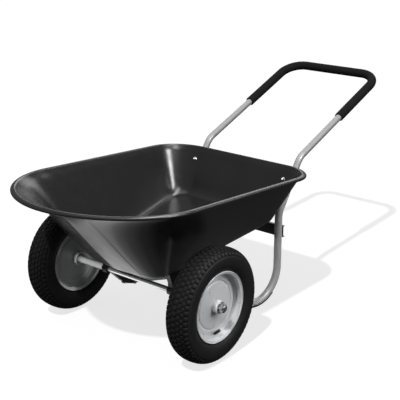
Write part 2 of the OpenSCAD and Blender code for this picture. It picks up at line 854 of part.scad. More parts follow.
module lug_gaps() {
    for (k = [0 : tread_lugs - 1])
        rotate([0, 0, k * 360 / tread_lugs]) rotate([90, 0, 0])
            linear_extrude(lug_gap, center = true) polygon(lug_gap_section);
}

module tyre(side) {
    color(black) on_side(side) on_axle(wheel_x) difference() {
        rotate_extrude() polygon(concat(
            [[tyre_low, seat_x - push], [sidewall_low, seat_x - push]],
            half_section,
            [crown],
            reversed([for (p = half_section) [p[0], -p[1]]]),
            [[sidewall_low, push - seat_x], [tyre_low, push - seat_x], [tyre_low, -bead_x]],
            round_section(tyre_t, 180 + cavity_a, -cavity_a),
            [[tyre_low, bead_x]]
        ));
        lug_gaps();
        mirror([0, 0, 1]) lug_gaps();
    }
}

module inner_tube(side) {
    color(black) wheel_turn(side) difference() {
        polygon(round_section(tyre_t + tube_gap, 0, 360 - 360 / section_steps));
        polygon(round_section(tyre_t + tube_gap + tube_wall, 0, 360 - 360 / section_steps));
    }
}

// Barrel of a wheel, the side to the tyre and then the side to the axle, and the face of one disc
barrel_top = [
    [well_x, well_r], [bead_x, seat_r - 1], [seat_x, seat_r], [seat_x + 1, rim_r - 1],
    [lip_x - 2, rim_r], [lip_x, rim_r - 1.5], [lip_x, rim_r - 3.5]
];
barrel_under = [
    [seat_x + 1 + rim_t, rim_r - 3], [seat_x + rim_t, seat_r - rim_t], [bead_x + 0.8, seat_r - rim_t - 1],
    [well_x + 1.2, well_r - rim_t]
];
barrel_half = concat(barrel_top, barrel_under);
barrel = section(concat(barrel_half, reversed([for (p = barrel_half) [-p[0], p[1]]])));
disc_face = [
    [disc_x, well_r - rim_t / 2], [disc_x, disc_edge_r + 3.5], [disc_x - 1.6, disc_edge_r],
    [disc_x + 0.8, disc_edge_r - 4], [disc_x + 3.5, 0.47 * rim_r], [disc_x + 6, 0.32 * rim_r],
    [disc_hub_x, hub_r + push]
];
disc_half = section(concat(disc_face, reversed([for (p = disc_face) p - [rim_t, 0]])));

module valve_line(from, to, r) {
    a = valve_start + valve_dir * from;
    b = valve_start + valve_dir * to;
    on_axle(wheel_x) bar([a[1], 0, a[0]], [b[1], 0, b[0]], r);
}

module rim(side) {
    color(silver) difference() {
        union() {
            wheel_turn(side) polygon(barrel);
            wheel_turn(side) polygon(disc_half);
            wheel_turn(side) mirror([0, 1]) polygon(disc_half);
        }
        on_side(side) valve_line(valve_in, valve_collar[1], valve_r + push);
    }
}

module hub(side) {
    color(silver) on_side(side) on_axle(wheel_x - hub_len / 2) ring(hub_r, bearing_r + running, hub_len);
}

// Bearing at one end of a hub, with out = 1 for the outer end
module bearing(side, out) {
    start = out == 1 ? bearing_face - bearing_w : -bearing_face;
    color(zinc) on_side(side) on_axle(wheel_x + start) ring(bearing_r, axle_r + running, bearing_w);
}

module valve_stem(side) {
    color(black) on_side(side) {
        valve_line(valve_in, valve_out, valve_r);
        valve_line(valve_collar[0], valve_collar[1], valve_cap_r);
    }
}

module valve_cap(side) {
    color(black) on_side(side) difference() {
        valve_line(valve_out - valve_cap_len / 2, valve_out + valve_cap_len / 2, valve_cap_r);
        valve_line(0, valve_out + push, valve_r + push);
    }
}

tray();
handle_tube();
handle_grip();
leg(left);  // leg_left
leg(right);  // leg_right
foot_pad(left);  // foot_pad_left
foot_pad(right);  // foot_pad_right
cross_brace();
axle();
axle_bracket(left);  // axle_bracket_left
axle_bracket(right);  // axle_bracket_right
spacer(left);  // spacer_left
spacer(right);  // spacer_right
axle_washers();
axle_nuts();
wall_bolts();
wall_spacers();
wall_nuts();
floor_bolts();
floor_nuts();
rail_bolts();
rail_nuts();
brace_bolts();
brace_nuts();
tyre(left);  // tyre_left
tyre(right);  // tyre_right
inner_tube(left);  // inner_tube_left
inner_tube(right);  // inner_tube_right
rim(left);  // rim_left
rim(right);  // rim_right
hub(left);  // hub_left
hub(right);  // hub_right
bearing(left, 1);  // bearing_outer_left
bearing(right, 1);  // bearing_outer_right
bearing(left, 0);  // bearing_inner_left
bearing(right, 0);  // bearing_inner_right
valve_stem(left);  // valve_stem_left
valve_stem(right);  // valve_stem_right
valve_cap(left);  // valve_cap_left
valve_cap(right);  // valve_cap_right
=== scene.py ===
"""Looks of a two wheel wheelbarrow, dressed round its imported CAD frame.

The scene is in metres, with Z up and +Y to the handle. Named sizes of shapes are in millimetres.
"""
import json
import math

import bmesh
import bpy
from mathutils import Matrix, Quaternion, Vector

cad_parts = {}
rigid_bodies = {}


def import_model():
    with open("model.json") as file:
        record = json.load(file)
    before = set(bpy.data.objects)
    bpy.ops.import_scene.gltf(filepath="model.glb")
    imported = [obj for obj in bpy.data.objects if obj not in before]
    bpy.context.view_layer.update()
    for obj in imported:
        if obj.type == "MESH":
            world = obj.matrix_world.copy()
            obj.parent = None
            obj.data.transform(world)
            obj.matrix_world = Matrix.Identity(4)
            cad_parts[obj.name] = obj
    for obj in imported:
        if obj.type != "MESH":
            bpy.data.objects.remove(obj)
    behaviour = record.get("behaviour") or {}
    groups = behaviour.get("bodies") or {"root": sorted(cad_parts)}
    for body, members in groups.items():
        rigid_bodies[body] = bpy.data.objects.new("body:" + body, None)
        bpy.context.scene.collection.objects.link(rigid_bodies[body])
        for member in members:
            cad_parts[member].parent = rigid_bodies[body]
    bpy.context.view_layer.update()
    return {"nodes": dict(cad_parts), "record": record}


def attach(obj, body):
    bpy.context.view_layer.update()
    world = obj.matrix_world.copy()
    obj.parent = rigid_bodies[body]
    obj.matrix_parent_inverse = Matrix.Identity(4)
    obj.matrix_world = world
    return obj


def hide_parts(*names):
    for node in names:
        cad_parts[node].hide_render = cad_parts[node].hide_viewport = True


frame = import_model()
nodes = frame["nodes"]

MM = 0.001
SIDES = {"left": 1, "right": -1}

# Sizes of the CAD model, with lengths along Y measured back from the axle
MID_Y = 354.75
AXLE_Z = 170.0
WHEEL_X = 281.5
TYRE_R = 170.0
TYRE_HALF_W = 41.0
RIM_R = 106.0
RIM_HALF_W = 33.0
RIM_T = 2.2
HUB_R = 20.0


def place(x, y, z):
    """Point of the CAD source, in millimetres behind the axle, as a point of the scene."""
    return Vector((x * MM, (y - MID_Y) * MM, z * MM))


# Materials

NOISE_LOW = 0.3
NOISE_HIGH = 0.7


def shader(mat):
    return mat.node_tree.nodes["Principled BSDF"]


def material(name, color, rough, metallic=0.0, specular=0.5, coat=0.0, coat_rough=0.1):
    """Principled material with its constant values set on the shader."""
    mat = bpy.data.materials.new(name)
    mat.use_nodes = True
    inputs = shader(mat).inputs
    inputs["Base Color"].default_value = (*color, 1)
    inputs["Roughness"].default_value = rough
    inputs["Metallic"].default_value = metallic
    inputs["Specular IOR Level"].default_value = specular
    inputs["Coat Weight"].default_value = coat
    inputs["Coat Roughness"].default_value = coat_rough
    return mat


def coords(mat):
    """Object coordinates, which are scene metres on every piece."""
    tree = mat.node_tree
    found = tree.nodes.get("Texture Coordinate")
    return (found or tree.nodes.new("ShaderNodeTexCoord")).outputs["Object"]


def noise(mat, scale, detail=3.0, rough=0.5):
    """Noise texture, with its scale per metre."""
    node = mat.node_tree.nodes.new("ShaderNodeTexNoise")
    node.inputs["Scale"].default_value = scale
    node.inputs["Detail"].default_value = detail
    node.inputs["Roughness"].default_value = rough
    mat.node_tree.links.new(coords(mat), node.inputs["Vector"])
    return node.outputs["Fac"]


def ramp(mat, fac, low, high):
    """Maps a noise value to a colour between low and high."""
    node = mat.node_tree.nodes.new("ShaderNodeValToRGB")
    node.color_ramp.elements[0].position = NOISE_LOW
    node.color_ramp.elements[1].position = NOISE_HIGH
    node.color_ramp.elements[0].color = (*low, 1)
    node.color_ramp.elements[1].color = (*high, 1)
    mat.node_tree.links.new(fac, node.inputs["Fac"])
    return node.outputs["Color"]


def map_range(tree, value, ends):
    """Maps a value from the range of the first two ends to that of the last two."""
    node = tree.nodes.new("ShaderNodeMapRange")
    for socket, end in zip(("From Min", "From Max", "To Min", "To Max"), ends):
        node.inputs[socket].default_value = end
    tree.links.new(value, node.inputs["Value"])
    return node.outputs["Result"]


def spread(mat, fac, low, high):
    """Maps a noise value to the range low to high."""
    return map_range(mat.node_tree, fac, (NOISE_LOW, NOISE_HIGH, low, high))


def bump(mat, height, strength, distance):
    """Bumps the surface by a height texture, over a distance in metres."""
    node = mat.node_tree.nodes.new("ShaderNodeBump")
    node.inputs["Strength"].default_value = strength
    node.inputs["Distance"].default_value = distance
    mat.node_tree.links.new(height, node.inputs["Height"])
    feed(mat, "Normal", node.outputs["Normal"])


def feed(mat, socket, output):
    mat.node_tree.links.new(output, shader(mat).inputs[socket])


def tray_plastic():
    mat = material("tray_plastic", (0.009, 0.009, 0.0095), 0.24, specular=0.5)
    feed(mat, "Base Color", ramp(mat, noise(mat, 9, 4), (0.008, 0.008, 0.0085), (0.0105, 0.0105, 0.011)))
    feed(mat, "Roughness", spread(mat, noise(mat, 34, 5), 0.21, 0.27))
    bump(mat, noise(mat, 1500, 2), 0.06, 0.0002)
    return mat


def silver_paint():
    mat = material("silver_paint", (0.36, 0.36, 0.365), 0.42, metallic=0.3, coat=0.1, coat_rough=0.3)
    feed(mat, "Base Color", ramp(mat, noise(mat, 2600, 2), (0.34, 0.34, 0.345), (0.38, 0.38, 0.385)))
    feed(mat, "Roughness", spread(mat, noise(mat, 60, 4), 0.34, 0.42))
    bump(mat, noise(mat, 420, 2), 0.03, 0.0002)
    return mat


def wheel_paint():
    mat = material("wheel_paint", (0.52, 0.53, 0.54), 0.28, metallic=0.1, coat=0.3, coat_rough=0.12)
    feed(mat, "Base Color", ramp(mat, noise(mat, 2200, 2), (0.5, 0.51, 0.52), (0.55, 0.56, 0.57)))
    feed(mat, "Roughness", spread(mat, noise(mat, 48, 4), 0.27, 0.31))
    bump(mat, noise(mat, 900, 2), 0.03, 0.0002)
    return mat


def black_paint():
    mat = material("black_paint", (0.012, 0.012, 0.012), 0.36, specular=0.5)
    feed(mat, "Roughness", spread(mat, noise(mat, 70, 4), 0.3, 0.42))
    feed(mat, "Base Color", ramp(mat, noise(mat, 26, 4), (0.01, 0.01, 0.01), (0.016, 0.016, 0.016)))
    bump(mat, noise(mat, 600, 2), 0.1, 0.0003)
    return mat


def zinc_steel():
    mat = material("zinc_steel", (0.72, 0.73, 0.74), 0.24, metallic=1.0)
    feed(mat, "Base Color", ramp(mat, noise(mat, 180, 3), (0.66, 0.67, 0.68), (0.78, 0.79, 0.8)))
    feed(mat, "Roughness", spread(mat, noise(mat, 240, 4), 0.18, 0.3))
    return mat


def tyre_rubber():
    mat = material("tyre_rubber", (0.008, 0.008, 0.008), 0.55, specular=0.4)
    feed(mat, "Base Color", ramp(mat, noise(mat, 90, 4), (0.007, 0.007, 0.007), (0.012, 0.012, 0.012)))
    feed(mat, "Roughness", spread(mat, noise(mat, 150, 4), 0.5, 0.68))
    bump(mat, noise(mat, 900, 3), 0.25, 0.0004)
    return mat


def soft_rubber():
    mat = material("soft_rubber", (0.013, 0.013, 0.013), 0.5, specular=0.45)
    feed(mat, "Roughness", spread(mat, noise(mat, 300, 3), 0.44, 0.58))
    bump(mat, noise(mat, 1200, 2), 0.1, 0.0002)
    return mat


def foam():
    mat = material("foam", (0.007, 0.007, 0.007), 0.85, specular=0.2)
    feed(mat, "Base Color", ramp(mat, noise(mat, 700, 3), (0.005, 0.005, 0.005), (0.01, 0.01, 0.01)))
    bump(mat, noise(mat, 1100, 4, 0.65), 0.5, 0.0006)
    return mat


def black_plastic():
    mat = material("black_plastic", (0.014, 0.014, 0.014), 0.45)
    feed(mat, "Roughness", spread(mat, noise(mat, 110, 3), 0.4, 0.52))
    bump(mat, noise(mat, 1400, 2), 0.12, 0.0002)
    return mat


def floor_paint():
    """Pale matt floor that glows a little, as a lit studio base does."""
    mat = material("floor_paint", (0.32, 0.32, 0.32), 0.9, specular=0.1)
    inputs = shader(mat).inputs
    inputs["Emission Color"].default_value = (1, 1, 1, 1)
    inputs["Emission Strength"].default_value = 0.76
    feed(mat, "Base Color", ramp(mat, noise(mat, 0.7, 2), (0.31, 0.31, 0.31), (0.33, 0.33, 0.33)))
    return mat


MATERIALS = {
    make.__name__: make()
    for make in (
        tray_plastic, silver_paint, wheel_paint, black_paint, zinc_steel,
        tyre_rubber, soft_rubber, foam, black_plastic,
    )
}

for part in frame["record"]["subparts"]:
    slots = nodes[part["node"]].data.materials
    slots.clear()
    slots.append(MATERIALS[part["material_slot"]])


# Mesh helpers

def piece(name, verts, faces, slot, body, replaced=(), sharp=()):
    """Makes a smooth mesh piece, rides it on a body and hides the CAD nodes it stands for."""
    mesh = bpy.data.meshes.new(name)
    mesh.from_pydata([tuple(v) for v in verts], [], faces)
    mesh.validate()
    bm = bmesh.new()
    bm.from_mesh(mesh)
    bmesh.ops.recalc_face_normals(bm, faces=bm.faces)
    bm.to_mesh(mesh)
    bm.free()
    mesh.polygons.foreach_set("use_smooth", [True] * len(mesh.polygons))
    if sharp:
        wanted = {tuple(sorted(e)) for e in sharp}
        for edge in mesh.edges:
            edge.use_edge_sharp = tuple(sorted(edge.vertices)) in wanted
    mesh.materials.append(MATERIALS[slot])
    obj = bpy.data.objects.new(name, mesh)
    bpy.context.collection.objects.link(obj)
    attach(obj, body)
    if replaced:
        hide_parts(*replaced)
    return obj


def strip(rings, closed_rings=False):
    """Quads between rings of equally many points, each ring closed on itself."""
    count = len(rings[0])
    faces = []
    for k in range(len(rings) if closed_rings else len(rings) - 1):
        low, high = k * count, (k + 1) % len(rings) * count
        for i in range(count):
            j = (i + 1) % count
            faces.append((low + i, low + j, high + j, high + i))
    return [p for ring in rings for p in ring], faces


def join(parts):
    """One list of points and one of faces from several."""
    verts, faces = [], []
    for v, f in parts:
        start = len(verts)
        verts += v
        faces += [tuple(start + i for i in face) for face in f]
    return verts, faces


def unit2(v):
    length = math.hypot(*v)
    return (v[0] / length, v[1] / length)


def lerp(a, b, s):
    return a + (b - a) * s


def curve(a, b, c, q):
    """Point at share q of the bend from a to c that is drawn towards b."""
    return a * (1 - q) ** 2 + b * (2 * q * (1 - q)) + c * q ** 2


def smooth(q):
    """Soft step from 0 to 1."""
    q = min(1.0, max(0.0, q))
    return q * q * (3 - 2 * q)


# Tray, on the same outlines as the CAD model but in finer steps

TRAY_W = 603.0
TRAY_NOSE = 378.0
TRAY_BACK = 528.0
TRAY_WALL = 5.0
BACK_CORNER_R = 127.0
FLANGE_W = 13.0
LIP_H = 9.5
RIM_FRONT_Y = -85.0
RIM_POWER = 1.9
WALL_SWEEP = 12.0
WALL_POWER = 2.0

FLOOR_Z0 = 223.0
FLOOR_T = 4.0
FLOOR_NOSE = 84.0
FLOOR_BACK = 434.0
FLOOR_FRONT_Y = 110.0
FLOOR_HALF_W = 156.0
FLOOR_WIDENS = 0.125
FLOOR_SWEEP = 11.0
FLOOR_POWER = 8.0
FLOOR_CORNER_R = 55.0
FLOOR_TILT = math.tan(math.radians(7.5))
NOSE_Z = FLOOR_Z0 + 278.0
BACK_Z = FLOOR_Z0 + 215.0

# Rounds at the floor: how far inside its outline they start, and the share of the wall's height they reach
INNER_ROUND = (13.0, 0.22)
OUTER_ROUND = (8.0, 0.07)
FLOOR_MARGIN = 3.0
WALL_TOP = 0.93

NOSE_HOLLOW = 56.0
HOLLOW_RISE = 2
HOLLOW_FALL = 8
PANEL_X = 98.0
PANEL_EDGE = 9.0
PANEL_STEP = 1.2
PANEL_TOP = 0.96
PANEL_FADE = 0.1
PANEL_SIDE_FADE = 40.0

FRONT_STEPS = 96
SIDE_STEPS = 9
CORNER_STEPS = 24
BACK_STEPS = 4
HALF_STEPS = FRONT_STEPS + SIDE_STEPS + CORNER_STEPS + BACK_STEPS
RING_STEPS = 2 * HALF_STEPS
ROUND_STEPS = 12
WALL_STEPS = 14

# Section of the rolled rim, outward and up: from the wall's line, from the rim's line and back under the lip
RIM_CREST = ((-TRAY_WALL, -4), (-4.2, -2.4), (-2.5, -1), (-0.8, -0.25), (1, 0))
RIM_ROLL = (
    (-9, -0.15), (-6.5, -0.6), (-4.6, -1.2), (-3, -2), (-1.8, -2.9), (-0.8, -4),
    (-0.2, -5.2), (0, -6.3), (-0.1, -7.4), (-0.3, 1.2 - LIP_H), (-0.7, 0.4 - LIP_H), (-1.3, -LIP_H),
    (-3.2, -LIP_H), (-3.6, -7.3), (-4.1, -6.3), (-5, -5.6), (-6.5, -5.1), (-8, -4.7),
)
RIM_UNDER = (2.5, -4.5)


def floor_z(y):
    return FLOOR_Z0 + (y + FLOOR_NOSE) * FLOOR_TILT


def rim_z(y):
    return lerp(NOSE_Z, BACK_Z, (y + TRAY_NOSE) / (TRAY_BACK + TRAY_NOSE))


class Outline:
    """Outline of the tray at one level, from the front crease round the left half and back."""

    def __init__(self, front, nose, sweep, power, back, corner, half_width):
        self.front, self.nose, self.sweep, self.power = front, nose, sweep, power
        self.back, self.corner, self.half_width = back, corner, half_width
        half = [self.half_point(i) for i in range(HALF_STEPS + 1)]
        self.points = half + [(-x, y) for x, y in reversed(half[1:-1])]
        self.normals = []
        for i in range(RING_STEPS):
            a, b = self.points[i - 1], self.points[(i + 1) % RING_STEPS]
            self.normals.append(unit2((b[1] - a[1], a[0] - b[0])))

    def half_point(self, i):
        """Point i of the left half: along the nose, the side, the rear corner and the back."""
        if i <= FRONT_STEPS:
            a = math.radians(90 - 90 * i / FRONT_STEPS)
            c = abs(math.cos(a)) ** (2 / self.power) if i else 0.0
            s = math.sin(a) ** (2 / self.power) if i < FRONT_STEPS else 0.0
            y = self.front - (self.front - self.nose - self.sweep * c) * s
            return (self.half_width(y) * c, y)
        i -= FRONT_STEPS
        if i <= SIDE_STEPS:
            y = lerp(self.front, self.back - self.corner, i / SIDE_STEPS)
            return (self.half_width(y), y)
        i -= SIDE_STEPS
        y = self.back - self.corner
        x = self.half_width(y) - self.corner
        if i <= CORNER_STEPS:
            a = math.radians(90 * i / CORNER_STEPS)
            return (x + self.corner * math.cos(a), y + self.corner * math.sin(a))
        return (x * (CORNER_STEPS + BACK_STEPS - i) / BACK_STEPS, self.back)


RIM_LINE = Outline(
    RIM_FRONT_Y, -TRAY_NOSE, 0, RIM_POWER, TRAY_BACK, BACK_CORNER_R, lambda y: TRAY_W / 2,
)
WALL_LINE = Outline(
    RIM_FRONT_Y, -TRAY_NOSE + FLANGE_W, WALL_SWEEP, WALL_POWER, TRAY_BACK - FLANGE_W,
    BACK_CORNER_R - FLANGE_W, lambda y: TRAY_W / 2 - FLANGE_W,
)
FLOOR_LINE = Outline(
    FLOOR_FRONT_Y, -FLOOR_NOSE, FLOOR_SWEEP, FLOOR_POWER, FLOOR_BACK,
    FLOOR_CORNER_R, lambda y: FLOOR_HALF_W + FLOOR_WIDENS * y,
)


def panel_depth(x, y, s):
    """How far the front wall steps in beside its raised middle panel, fading out to the floor and rim."""
    if y > 0:
        return 0.0
    beside = smooth((abs(x) - PANEL_X) / PANEL_EDGE + 0.5)
    above = smooth(s / PANEL_FADE)
    below = smooth((PANEL_TOP - s) / PANEL_FADE)
    return PANEL_STEP * beside * above * below * smooth(-y / PANEL_SIDE_FADE)


def hollow(i, s):
    """How far the front wall lies inside a straight wall, less towards the sides."""
    k = min(i, RING_STEPS - i)
    front = math.cos(math.radians(90 * k / FRONT_STEPS)) ** 2 if k < FRONT_STEPS else 0.0
    return NOSE_HOLLOW * front * (s ** HOLLOW_RISE - s ** HOLLOW_FALL)


def wall_point(i, s, d):
    """Point i of the wall at share s of its height, d outside its outer face."""
    f, w = FLOOR_LINE.points[i], WALL_LINE.points[i]
    fn, wn = FLOOR_LINE.normals[i], WALL_LINE.normals[i]
    x, y = (lerp(f[k], w[k], s) for k in (0, 1))
    out = d - hollow(i, s) - panel_depth(x, y, s)
    x, y = (v + lerp(fn[k], wn[k], s) * out for k, v in enumerate((x, y)))
    return Vector((x, y, lerp(floor_z(f[1]), rim_z(w[1]), s)))


def wall_ring(s, d):
    """Ring round the wall at share s of its height, d outside its outer face."""
    return [wall_point(i, s, d) for i in range(RING_STEPS)]


def floor_ring(d, up):
    """Ring on the floor, d outside the floor's outline and up above its underside."""
    ring = []
    for p, n in zip(FLOOR_LINE.points, FLOOR_LINE.normals):
        x, y = p[0] + n[0] * d, p[1] + n[1] * d
        ring.append(Vector((x, y, floor_z(y) + up)))
    return ring


def top_ring(line, d, up):
    """Ring along the rim, d outside a line and up above the rim's level."""
    return [
        Vector((p[0] + n[0] * d, p[1] + n[1] * d, rim_z(p[1]) + up))
        for p, n in zip(line.points, line.normals)
    ]


def wall_rings(inner):
    """Rings of the inner or outer face, from the floor through the round and up the wall."""
    d, up = (-TRAY_WALL, FLOOR_T) if inner else (0.0, 0.0)
    share = FLOOR_T / (BACK_Z - floor_z(FLOOR_BACK)) if inner else 0.0
    along, high = INNER_ROUND if inner else OUTER_ROUND
    rings = [floor_ring(d - along - FLOOR_MARGIN, up)]
    bend = list(zip(floor_ring(d - along, up), wall_ring(share, d), wall_ring(high, d)))
    for k in range(ROUND_STEPS + 1):
        rings.append([curve(a, b, c, k / ROUND_STEPS) for a, b, c in bend])
    for k in range(1, WALL_STEPS + 1):
        rings.append(wall_ring(lerp(high, WALL_TOP, k / WALL_STEPS), d))
    return rings


def make_tray():
    inner, outer = wall_rings(True), wall_rings(False)[::-1]
    rings = list(inner)
    rings += [top_ring(WALL_LINE, d, up) for d, up in RIM_CREST]
    rings += [top_ring(RIM_LINE, d, up) for d, up in RIM_ROLL]
    rings.append(top_ring(WALL_LINE, *RIM_UNDER))
    rings += outer
    verts, faces = strip(rings)
    last = len(rings) - 1
    faces += [tuple(k * RING_STEPS + i for i in range(RING_STEPS)) for k in (0, last)]
    creased = [*range(len(inner) - 1), *range(len(rings) - len(outer), last)]
    sharp = [(k * RING_STEPS, (k + 1) * RING_STEPS) for k in creased]
    verts = [place(*v) for v in verts]
    piece("tray_shell", verts, faces, "tray_plastic", "cart", ["tray"], sharp=sharp)


make_tray()


# Wheels

WHEEL_SEGMENTS = 144
SEAT_R = RIM_R - 7
WELL_R = RIM_R - 16.5

TYRE_LOW = SEAT_R + 0.1
TYRE_MID = (TYRE_R + TYRE_LOW) / 2
TYRE_HALF_H = (TYRE_R - TYRE_LOW) / 2
TYRE_POWER = 2.5
TYRE_WALL = 7.0
TYRE_STEPS = 64
SIDEWALL_A = 48
SIDEWALL_DEPTH = 0.4
CAVITY_A = 62
CAVITY_STEPS = 40
BEAD_R = TYRE_LOW + 0.3
BEAD = [(15, BEAD_R), (26, BEAD_R), (26, RIM_R + 1)]

TREAD_DEPTH = 3.2
TREAD_EDGE = 22
LUGS = 64

# Rows of blocks: the angles of the tyre's section they span, and their shift as a share of the pitch
TREAD_ROWS = (
    (84, 96, 0.0), (67, 79, 0.5), (101, 113, 0.5), (51, 62, 0.0), (118, 129, 0.0),
    (24, 46, 0.5), (134, 156, 0.5),
)
# Levels of a block: depth below the tread's top, half length as a share of the pitch, and inset in degrees
TREAD_LEVELS = ((TREAD_DEPTH + 0.5, 0.39, -0.5), (0.7, 0.36, 0.2), (0.1, 0.32, 1.2))
LEVEL_SHARES = (0.0, 0.5, 1.0)
LEVEL_POINTS = 2 * len(LEVEL_SHARES)

ROUNDING_STEPS = 4
CORNER_SHARE = 0.45
BARREL_ROUND = 1.6
DISC_ROUND = 2.5
DISC_X = 10.5
DISC_EDGE_R = 0.67 * RIM_R

# Sections of the wheel's barrel and disc, out from the wheel's middle and its radius
BARREL_HALF = [
    (11, WELL_R), (15, SEAT_R - 1), (28, SEAT_R), (29, RIM_R - 1), (31, RIM_R), (RIM_HALF_W, RIM_R - 1.5),
    (RIM_HALF_W, RIM_R - 3.5), (31.2, RIM_R - 3), (30.2, SEAT_R - RIM_T), (15.8, SEAT_R - RIM_T - 1),
    (12.2, WELL_R - RIM_T),
]
DISC_FACE = [
    (DISC_X, WELL_R - 1.1), (DISC_X, DISC_EDGE_R + 4), (DISC_X - 2.6, DISC_EDGE_R),
    (DISC_X + 1.2, DISC_EDGE_R - 4), (DISC_X + 3.5, 0.47 * RIM_R), (DISC_X + 6, 0.32 * RIM_R),
    (18, HUB_R + 0.1),
]


def wheel_point(x, out, radius, turn):
    """Point of the wheel at x, out from its middle and away from the cart, turned about the axle."""
    x += math.copysign(1, x) * out
    return place(x, radius * math.sin(turn), AXLE_Z + radius * math.cos(turn))


def lathe(profile, x):
    """Section of the wheel at x, turned about the axle."""
    turns = [2 * math.pi * k / WHEEL_SEGMENTS for k in range(WHEEL_SEGMENTS)]
    return strip([[wheel_point(x, *p, turn) for p in profile] for turn in turns], closed_rings=True)


def tyre_point(a, d):
    """Point of the tyre's section at angle a in degrees, d below its surface."""
    c, s = math.cos(math.radians(a)), math.sin(math.radians(a))
    e = 2 / TYRE_POWER
    w = (TYRE_HALF_W - d) * math.copysign(abs(c) ** e, c)
    return (w, TYRE_MID + (TYRE_HALF_H - d) * math.copysign(abs(s) ** e, s))


def tyre_profile():
    """Closed section of the tyre: its outside, the inner bead, the cavity and the outer bead."""
    outer = []
    for k in range(TYRE_STEPS + 1):
        a = lerp(-SIDEWALL_A, 180 + SIDEWALL_A, k / TYRE_STEPS)
        in_tread = TREAD_EDGE < a < 180 - TREAD_EDGE
        outer.append(tyre_point(a, TREAD_DEPTH if in_tread else SIDEWALL_DEPTH))
    inner_bead = [(-w, r) for w, r in reversed(BEAD)]
    cavity = [
        tyre_point(lerp(180 + CAVITY_A, -CAVITY_A, k / CAVITY_STEPS), TYRE_WALL)
        for k in range(CAVITY_STEPS + 1)
    ]
    return outer + inner_bead + cavity + BEAD


def block_faces():
    """Faces of one tread block, whose levels each have two rows of three points."""
    loop = (0, 1, 2, 5, 4, 3)
    faces = []
    for base in (0, LEVEL_POINTS):
        for p, q in zip(loop, loop[1:] + loop[:1]):
            faces.append((base + p, base + q, base + q + LEVEL_POINTS, base + p + LEVEL_POINTS))
    top = 2 * LEVEL_POINTS
    faces += [(top, top + 1, top + 4, top + 3), (top + 1, top + 2, top + 5, top + 4)]
    faces += [(0, 3, 4, 1), (1, 4, 5, 2)]
    return faces


def tread_blocks(x):
    """Rows of raised blocks round the tyre, each tapering a little to its top."""
    pitch = 2 * math.pi / LUGS
    blocks = []
    for a0, a1, shift in TREAD_ROWS:
        for k in range(LUGS):
            verts = []
            for d, half, inset in TREAD_LEVELS:
                for turn in (-half * pitch, half * pitch):
                    for s in LEVEL_SHARES:
                        w, r = tyre_point(lerp(a0 + inset, a1 - inset, s), d)
                        verts.append(wheel_point(x, w, r, (k + shift) * pitch + turn))
            blocks.append((verts, block_faces()))
    return join(blocks)


def rounded(points, radius):
    """Closed outline with each corner rounded by at most the given radius."""
    out = []
    count = len(points)
    for i in range(count):
        p = Vector(points[i])
        a, b = Vector(points[i - 1]), Vector(points[(i + 1) % count])
        cut = min(radius, (a - p).length * CORNER_SHARE, (b - p).length * CORNER_SHARE)
        start, end = p + (a - p).normalized() * cut, p + (b - p).normalized() * cut
        for k in range(ROUNDING_STEPS + 1):
            q = curve(start, p, end, k / ROUNDING_STEPS)
            out.append((q.x, q.y))
    return out


def make_wheel(side, sign):
    x = sign * WHEEL_X
    body = f"wheel_{side}"
    tyre = join([lathe(tyre_profile(), x), tread_blocks(x)])
    piece(f"tyre_tread_{side}", *tyre, "tyre_rubber", body, [f"tyre_{side}"])
    barrel = rounded(BARREL_HALF + [(-a, r) for a, r in reversed(BARREL_HALF)], BARREL_ROUND)
    disc = rounded(DISC_FACE + [(a - RIM_T, r) for a, r in reversed(DISC_FACE)], DISC_ROUND)
    inner_disc = [(-a, r) for a, r in disc]
    rim = join([lathe(barrel, x), lathe(disc, x), lathe(inner_disc, x)])
    piece(f"wheel_disc_{side}", *rim, "wheel_paint", body, [f"rim_{side}"])


for side_name, side_sign in SIDES.items():
    make_wheel(side_name, side_sign)


# Handle grip

LEG_X = 187.0
LEG_Y = FLOOR_BACK + 28
LEAN = math.radians(35.2)
ARM = math.radians(20.8)
HANDLE_BEND_RUN = 194
BAR_Y = 1072
BAR_R = 70
GRIP_RUN = 284
GRIP_R = 15.5
GRIP_BORE = 11.3
GRIP_EDGE = 1.6
GRIP_EDGE_STEPS = (0.0, 0.5, 1.2, 2.4)
GRIP_SEGMENTS = 40
PATH_STEP = 4.0
LEAN_DIR = Vector((0, math.sin(LEAN), math.cos(LEAN)))
HANDLE_BEND = Vector((LEG_X, LEG_Y, floor_z(LEG_Y))) + LEAN_DIR * HANDLE_BEND_RUN
ARM_DIR = Vector((0, math.cos(ARM), math.sin(ARM)))
BAR_CORNER = HANDLE_BEND + ARM_DIR * ((BAR_Y - HANDLE_BEND.y) / ARM_DIR.y)
GRIP_END = BAR_CORNER - ARM_DIR * GRIP_RUN


def bent_path(points, bend):
    """Polyline through the points with round bends, in steps of about the same length."""
    out = [points[0]]
    for i in range(1, len(points) - 1):
        d1 = (points[i] - points[i - 1]).normalized()
        d2 = (points[i + 1] - points[i]).normalized()
        turn = d1.angle(d2)
        trim = bend * math.tan(turn / 2)
        start = points[i] - d1 * trim
        inward = (d2 - d1 * d1.dot(d2)).normalized()
        centre = start + inward * bend
        steps = max(2, int(bend * turn / PATH_STEP))
        for k in range(steps + 1):
            a = turn * k / steps
            out.append(centre - inward * bend * math.cos(a) + d1 * bend * math.sin(a))
    out.append(points[-1])
    fine = [out[0]]
    for a, b in zip(out, out[1:]):
        count = max(1, round((b - a).length / PATH_STEP))
        fine += [a.lerp(b, k / count) for k in range(1, count + 1)]
    return fine


